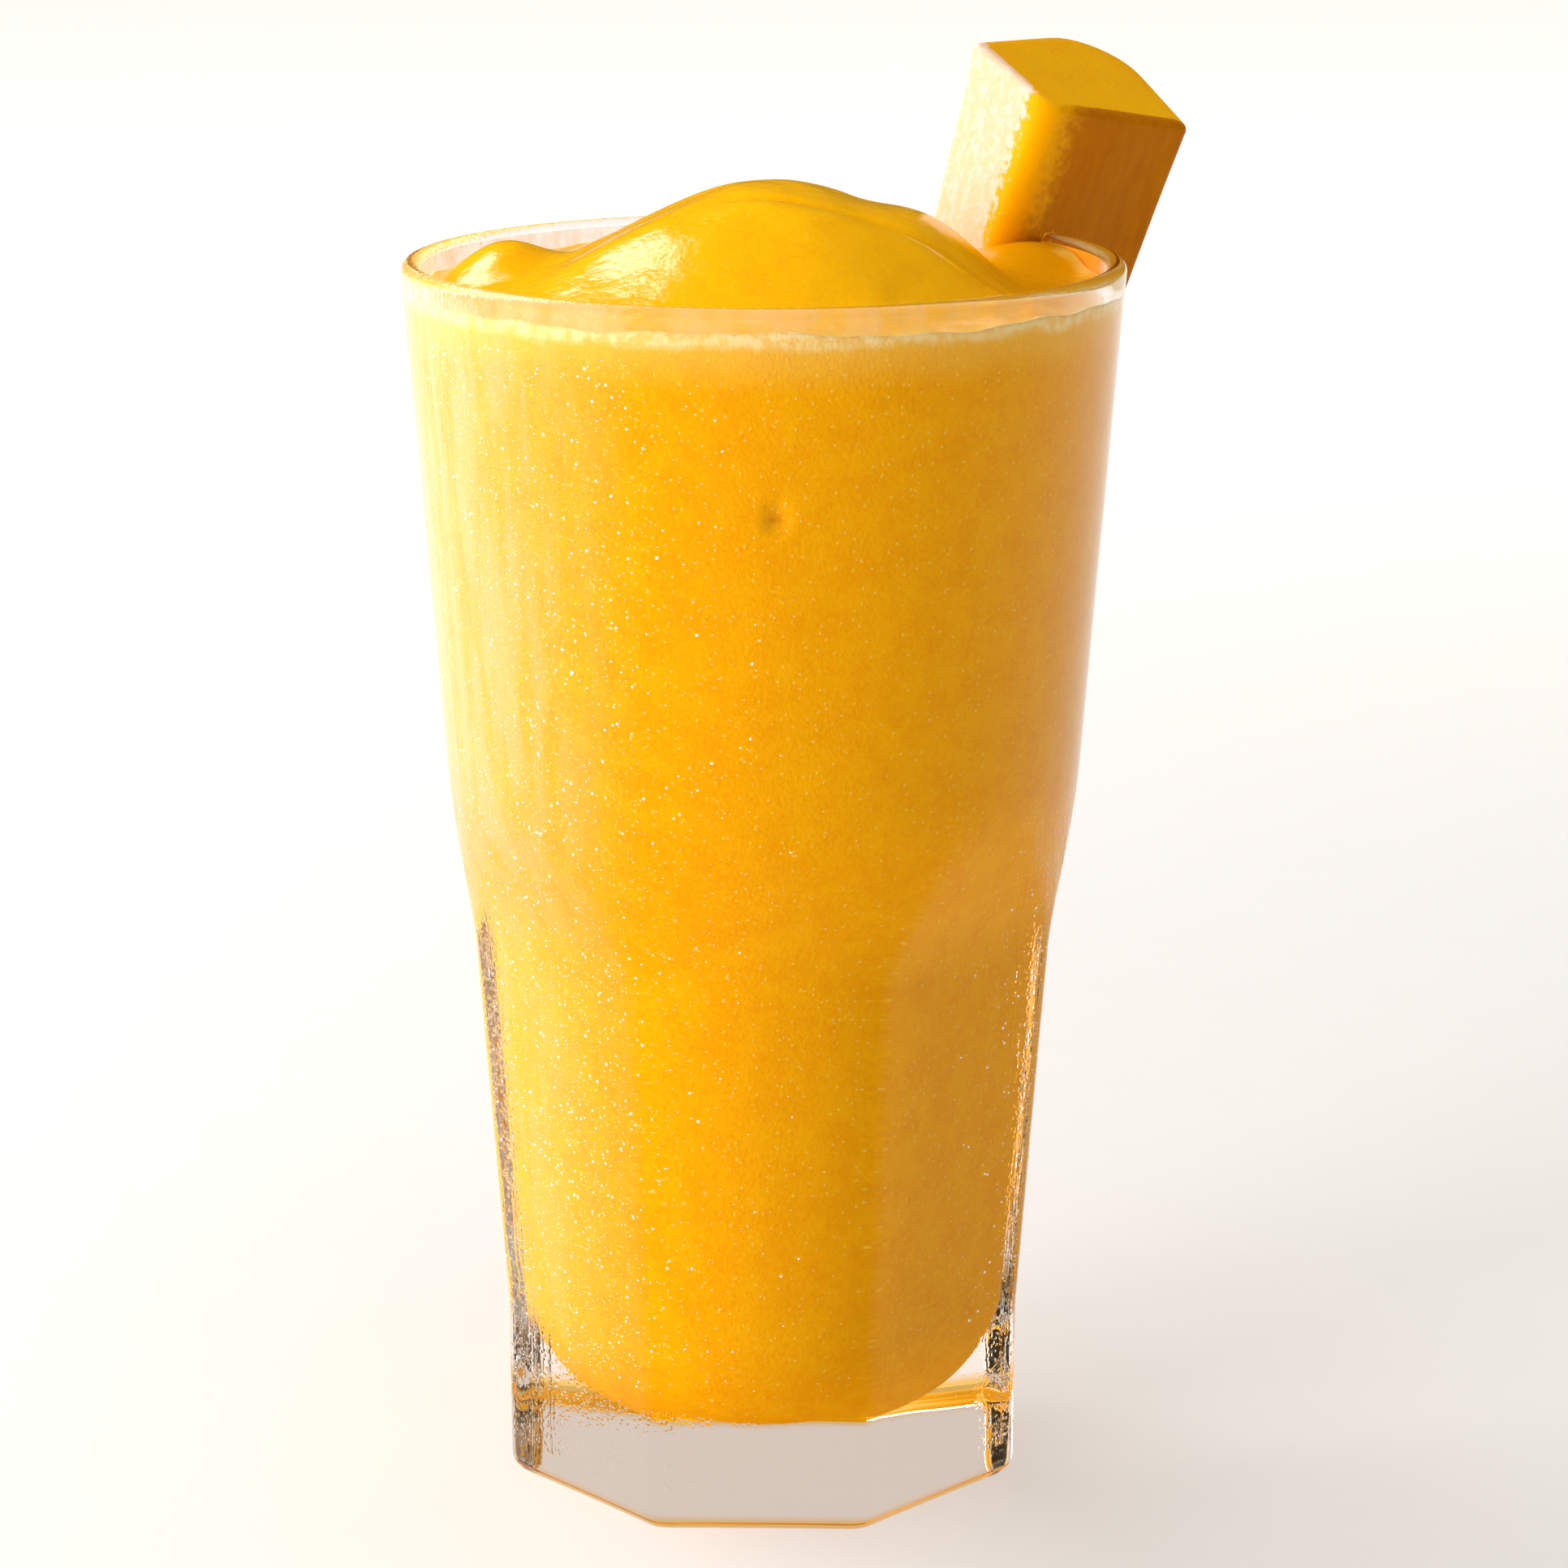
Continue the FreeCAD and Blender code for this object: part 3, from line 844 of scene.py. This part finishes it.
def mango_flesh(p):
    """Ripe mango: lengthwise fibres, painted light that makes the left face pale with a ragged border by the near
    edge, and painted shade that darkens the right face.
    """
    material, shader, point = new_material("mango flesh", subsurface_weight=0.2, subsurface_scale=0.002,
                                           specular_ior_level=0.25, specular_tint=WARM_GLOSS)
    shader.inputs["Subsurface Radius"].default_value = FLESH_SCATTER
    upright = stretched(point, (1, 1, 1), spear_turn(p).inverted().to_euler())
    fibres = noise(stretched(upright, (1, 1, 0.2)), 1100, 3.0, 0.55)
    grain = noise(point, 900, 4.0, 0.6)
    broad = noise(point, 160, 2.0)
    ragged = times(maths("SUBTRACT", grain, 0.5), 0.006)
    left, right = (node(shader.id_data, "Attribute", attribute_name=side).outputs["Fac"] for side in SIDES)
    # Painted shade: the right face, turned away from the lights, painted the deep colour, except near the near
    # edge.
    shaded_face_mask = times(ramped(plus(right, ragged), 0.001, 0.006), ramped(fibres, 0.2, 0.8, 0.86, 1.0))
    body = mixed(ramped(broad, 0.3, 0.7, 0.0, 0.10), p.flesh, p.deep)
    body = mixed(shaded_face_mask, body, p.deep)
    # Painted light: the left face, turned to the window light, painted pale and speckled, with a ragged border by
    # the near edge.
    lit_face_mask = ramped(plus(left, ragged), 0.0022, 0.0038)
    speckle = ramped(plus(grain, times(fibres, 0.5)), 0.88, 0.66)
    pale = mixed(times(speckle, 0.3), p.pale, p.flesh)
    feed(shader, base_color=mixed(lit_face_mask, body, pale), roughness=ramped(fibres, 0.3, 0.7, 0.28, 0.42),
         normal=bumped(grain, 0.00006, bumped(fibres, 0.00005)))
    return material


def pale_floor(colour_here):
    """A plain pale table top with the faintest grain, which glows more farther off."""
    material, shader, point = new_material("pale floor", roughness=0.6, emission_strength=1.0)
    lighter = [min(1.0, value * 1.03) for value in colour_here]
    glow = mixed(ramped(length_of(point), *FLOOR_GLOW_FROM), FLOOR_GLOW_NEAR, FLOOR_GLOW_FAR)
    feed(shader, base_color=mixed(noise(point, 60, 3.0), colour_here, lighter), emission_color=glow)
    return material


def studio_room(g):
    """The light from all round: pale where it is seen, also through the glass, dim and warm in reflections."""
    world = bpy.data.worlds.new("Room")
    world.use_nodes = True
    tree = world.node_tree
    path = node(tree, "LightPath").outputs
    in_view = path["Is Camera Ray"]
    gloss_only = maths("SUBTRACT", path["Is Glossy Ray"], path["Is Transmission Ray"])
    mirrored = maths("GREATER_THAN", gloss_only, 0.5)
    strength = maths("MULTIPLY_ADD", path["Is Diffuse Ray"], g.room - g.backdrop, g.backdrop)
    strength = maths("MULTIPLY_ADD", mirrored, g.reflected - g.backdrop, strength)
    strength = maths("MULTIPLY_ADD", in_view, g.seen - g.backdrop, strength)
    tone = mixed(in_view, ROOM_THROUGH, ROOM_SEEN)
    backdrop = tree.nodes["Background"]
    tree.links.new(mixed(mirrored, tone, ROOM_REFLECTED), backdrop.inputs["Color"])
    tree.links.new(strength, backdrop.inputs["Strength"])
    return world


# Operators

def settled(piece, node_name=None):
    """Ties a finished piece to the frame."""
    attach(piece, "root")
    if node_name:
        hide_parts(node_name)
    return piece


class SMOOTHIE_OT_tumbler(bpy.types.Operator):
    """Makes the glass: round above, eight facets below, with a rounded lip"""
    bl_idname = "smoothie.tumbler"
    bl_label = "Tumbler"

    def execute(self, context):
        t = context.scene.tumbler
        rings, outside = tumbler_rings(t)
        points, faces = closed_rings(rings)
        columns = rings.shape[1]
        misted = np.zeros(sum(len(group) for group in faces), int)
        misted[FIRST_MISTED_RING * columns:outside * columns] = 1
        piece = add_piece("tumbler", points, faces, [clear_glass(), misted_glass()], misted)
        settled(piece, "glass")
        return {"FINISHED"}


class SMOOTHIE_OT_drink(bpy.types.Operator):
    """Makes the drink, filling the glass and heaped above it, and the film that it leaves on the wall"""
    bl_idname = "smoothie.drink"
    bl_label = "Drink"

    def execute(self, context):
        t, s = context.scene.tumbler, context.scene.smoothie
        rings, on_wall = smoothie_rings(t, s)
        points, faces = closed_rings(rings)
        columns = rings.shape[1]
        open_top = np.zeros(sum(len(group) for group in faces), int)
        open_top[on_wall * columns:] = 1
        open_top[-2 * columns:-columns] = 0
        piece = add_piece("drink", points, faces, [smoothie_wall(s), smoothie_top(s)], open_top)
        settled(piece, "smoothie")
        points, faces = closed_tube(film_rings(t, s))
        settled(add_piece("drink_film", points, faces, [froth_film(s)]))
        return {"FINISHED"}


class SMOOTHIE_OT_spear(bpy.types.Operator):
    """Makes the mango spear, with the slit that holds it on the rim"""
    bl_idname = "smoothie.spear"
    bl_label = "Mango spear"

    def execute(self, context):
        t, p = context.scene.tumbler, context.scene.spear
        rings, left, right = spear_rings(p)
        turn, origin = spear_placement(t, p)
        points, faces = closed_rings(rings)
        points = points @ np.array(turn).T + np.array(origin)
        reaches = {side: np.append(reach, [0, 0]) for side, reach in zip(SIDES, (left, right))}
        flesh = mango_flesh(p)
        spear = add_piece("spear", points, faces, [flesh], attributes=reaches)
        slit_points, slit_faces = closed_tube(slit_rings(t, p))
        slit = add_piece("slit", slit_points, slit_faces, [flesh])
        cut = spear.modifiers.new("Slit", "BOOLEAN")
        cut.operation = "DIFFERENCE"
        cut.solver = "MANIFOLD"
        cut.object = slit
        context.view_layer.update()
        done = bpy.data.meshes.new_from_object(spear.evaluated_get(context.evaluated_depsgraph_get()))
        spear.modifiers.clear()
        spear.data = done
        bpy.data.objects.remove(slit)
        if not done.polygons:
            raise RuntimeError("the slit could not be cut")
        settled(spear, "mango_spear")
        return {"FINISHED"}


LEFT_SHARE = 0.8  # share of the drops at the left, the rest being low at the right
LEFT_DEW, RIGHT_DEW = (223, 20), (345, 12)  # middle and spread round the glass, in degrees
DEW_ABOVE_FOOT, DEW_BELOW_RIM = 0.018, 0.006
RIGHT_DEW_HEIGHTS = (0.004, 0.088)
SMALL_STEP = 1e-5


class SMOOTHIE_OT_dew(bpy.types.Operator):
    """Scatters drops of condensed water over the outside of the glass"""
    bl_idname = "smoothie.dew"
    bl_label = "Dew"

    def execute(self, context):
        t, d = context.scene.tumbler, context.scene.dew
        rng = np.random.default_rng(d.seed)
        count = d.count
        on_left = rng.random(count) < LEFT_SHARE
        around = np.where(on_left, rng.normal(*np.radians(LEFT_DEW), count),
                          rng.normal(*np.radians(RIGHT_DEW), count))
        height = np.where(on_left, rng.uniform(DEW_ABOVE_FOOT, GLASS_HEIGHT - DEW_BELOW_RIM, count),
                          rng.uniform(*RIGHT_DEW_HEIGHTS, count))
        size = d.smallest + (d.largest - d.smallest) * rng.random(count) ** 6
        radius = wall_radius(t, around, height)
        slope = (wall_radius(t, around, height + SMALL_STEP) - radius) / SMALL_STEP
        swing = (wall_radius(t, around + SMALL_STEP, height) - radius) / SMALL_STEP / radius
        outwards = np.stack([np.cos(around), np.sin(around), -slope], axis=-1)
        aside = np.stack([-np.sin(around), np.cos(around), 0 * around], axis=-1)
        outwards -= aside * swing[:, None]
        outwards /= np.linalg.norm(outwards, axis=1)[:, None]
        aside = np.cross([0.0, 0.0, 1.0], outwards)
        aside /= np.linalg.norm(aside, axis=1)[:, None]
        upwards = np.cross(outwards, aside)
        centre = turned(radius, height, around)

        sides = np.linspace(0, 2 * np.pi, 6, endpoint=False)
        rise = np.array([-0.25, 0.30])[:, None]
        reach = np.array([1.0, 0.75])[:, None]
        cap = np.stack([reach * np.cos(sides), reach * np.sin(sides), rise + 0 * sides], axis=-1)
        points, faces = closed_rings(cap)
        points[-1, 2] = 0.48
        uneven = rng.uniform(0.85, 1.2, (count, 3)) * size[:, None]
        local = points[None] * uneven[:, None]
        whole = (centre[:, None] + local[..., :1] * aside[:, None] + local[..., 1:2] * upwards[:, None]
                 + local[..., 2:] * outwards[:, None])
        offsets = np.arange(count)[:, None, None] * len(points)
        groups = [(group[None] + offsets).reshape(-1, group.shape[1]) for group in faces]
        settled(add_piece("dew_drops", whole.reshape(-1, 3), groups, [water()]))
        return {"FINISHED"}


FLOOR_REACH = 6
SENSOR_WIDTH = 36.0  # in millimetres
AIM = Vector((0, 0, 0.10))  # where the lamps face
LAMPS = (  # name, setting of its power, direction, distance, size, shown in gloss
    ("Key light", "key_power", (-0.52, 0.51, 0.69), 0.9, (0.54, 0.28), True),
    ("Window light", "window_power", (-0.96, 0.15, 0.28), 1.0, (0.8, 0.5), False),
    ("Fill light", "fill_power", (-0.8, -0.55, 0.24), 1.0, (0.4, 0.4), False),
    ("Ceiling light", "ceiling_power", (0, 0, 1), 2.1, (3.0, 3.0), False),
)


class SMOOTHIE_OT_stage(bpy.types.Operator):
    """Makes the floor, the lights and the camera"""
    bl_idname = "smoothie.stage"
    bl_label = "Stage"

    def execute(self, context):
        g = context.scene.stage
        reach = FLOOR_REACH
        corners = np.array([(x, y, -g.floor_gap)
                            for x, y in ((-reach, -reach), (reach, -reach), (reach, reach), (-reach, reach))])
        floor = add_piece("floor", corners, [np.array([[0, 1, 2, 3]])], [pale_floor(g.floor)])
        context.scene.world = studio_room(g)
        for name, setting, direction, distance, size, in_gloss in LAMPS:
            soft_light(name, direction, distance, size, getattr(g, setting)).visible_glossy = in_gloss
        lens = bpy.data.cameras.new("Camera")
        lens.lens = g.camera_lens
        lens.sensor_width = SENSOR_WIDTH
        lens.shift_x = g.camera_shift
        camera = bpy.data.objects.new("Camera", lens)
        camera.location = (0, -g.camera_distance, g.camera_height)
        camera.rotation_euler = Euler((math.pi / 2 - g.camera_pitch, 0, 0))
        context.scene.collection.objects.link(camera)
        context.scene.camera = camera
        context.scene.view_settings.view_transform = "Standard"
        return {"FINISHED"}


def soft_light(name, direction, distance, size, power):
    """A rectangular soft light that faces the middle of the glass."""
    lamp = bpy.data.lights.new(name, "AREA")
    lamp.shape = "RECTANGLE"
    lamp.size, lamp.size_y = size
    lamp.energy = power
    holder = bpy.data.objects.new(name, lamp)
    way = Vector(direction).normalized()
    holder.location = AIM + way * distance
    holder.rotation_euler = way.to_track_quat("Z", "Y").to_euler()
    holder.visible_camera = False
    bpy.context.scene.collection.objects.link(holder)
    return holder


class SMOOTHIE_PT_panel(bpy.types.Panel):
    """Lists the makers of each piece"""
    bl_label = "Mango smoothie"
    bl_idname = "SMOOTHIE_PT_panel"
    bl_space_type = "VIEW_3D"
    bl_region_type = "UI"
    bl_category = "Smoothie"

    def draw(self, context):
        for operator in OPERATORS:
            self.layout.operator(operator.bl_idname)
        for name in SETTINGS:
            group = getattr(context.scene, name)
            box = self.layout.box()
            for key in group.__annotations__:
                box.prop(group, key)


SETTINGS = {"tumbler": TumblerSettings, "smoothie": SmoothieSettings, "spear": SpearSettings,
            "dew": DewSettings, "stage": StageSettings}
OPERATORS = (SMOOTHIE_OT_stage, SMOOTHIE_OT_tumbler, SMOOTHIE_OT_drink, SMOOTHIE_OT_spear, SMOOTHIE_OT_dew)


def register():
    for name, group in SETTINGS.items():
        bpy.utils.register_class(group)
        setattr(bpy.types.Scene, name, PointerProperty(type=group))
    for made in (*OPERATORS, SMOOTHIE_PT_panel):
        bpy.utils.register_class(made)


def unregister():
    for made in (SMOOTHIE_PT_panel, *reversed(OPERATORS)):
        bpy.utils.unregister_class(made)
    for name, group in reversed(SETTINGS.items()):
        delattr(bpy.types.Scene, name)
        bpy.utils.unregister_class(group)


def main():
    """Makes every piece."""
    register()
    bpy.ops.smoothie.stage()
    bpy.ops.smoothie.tumbler()
    bpy.ops.smoothie.drink()
    bpy.ops.smoothie.spear()
    bpy.ops.smoothie.dew()


if __name__ == "__main__":
    main()
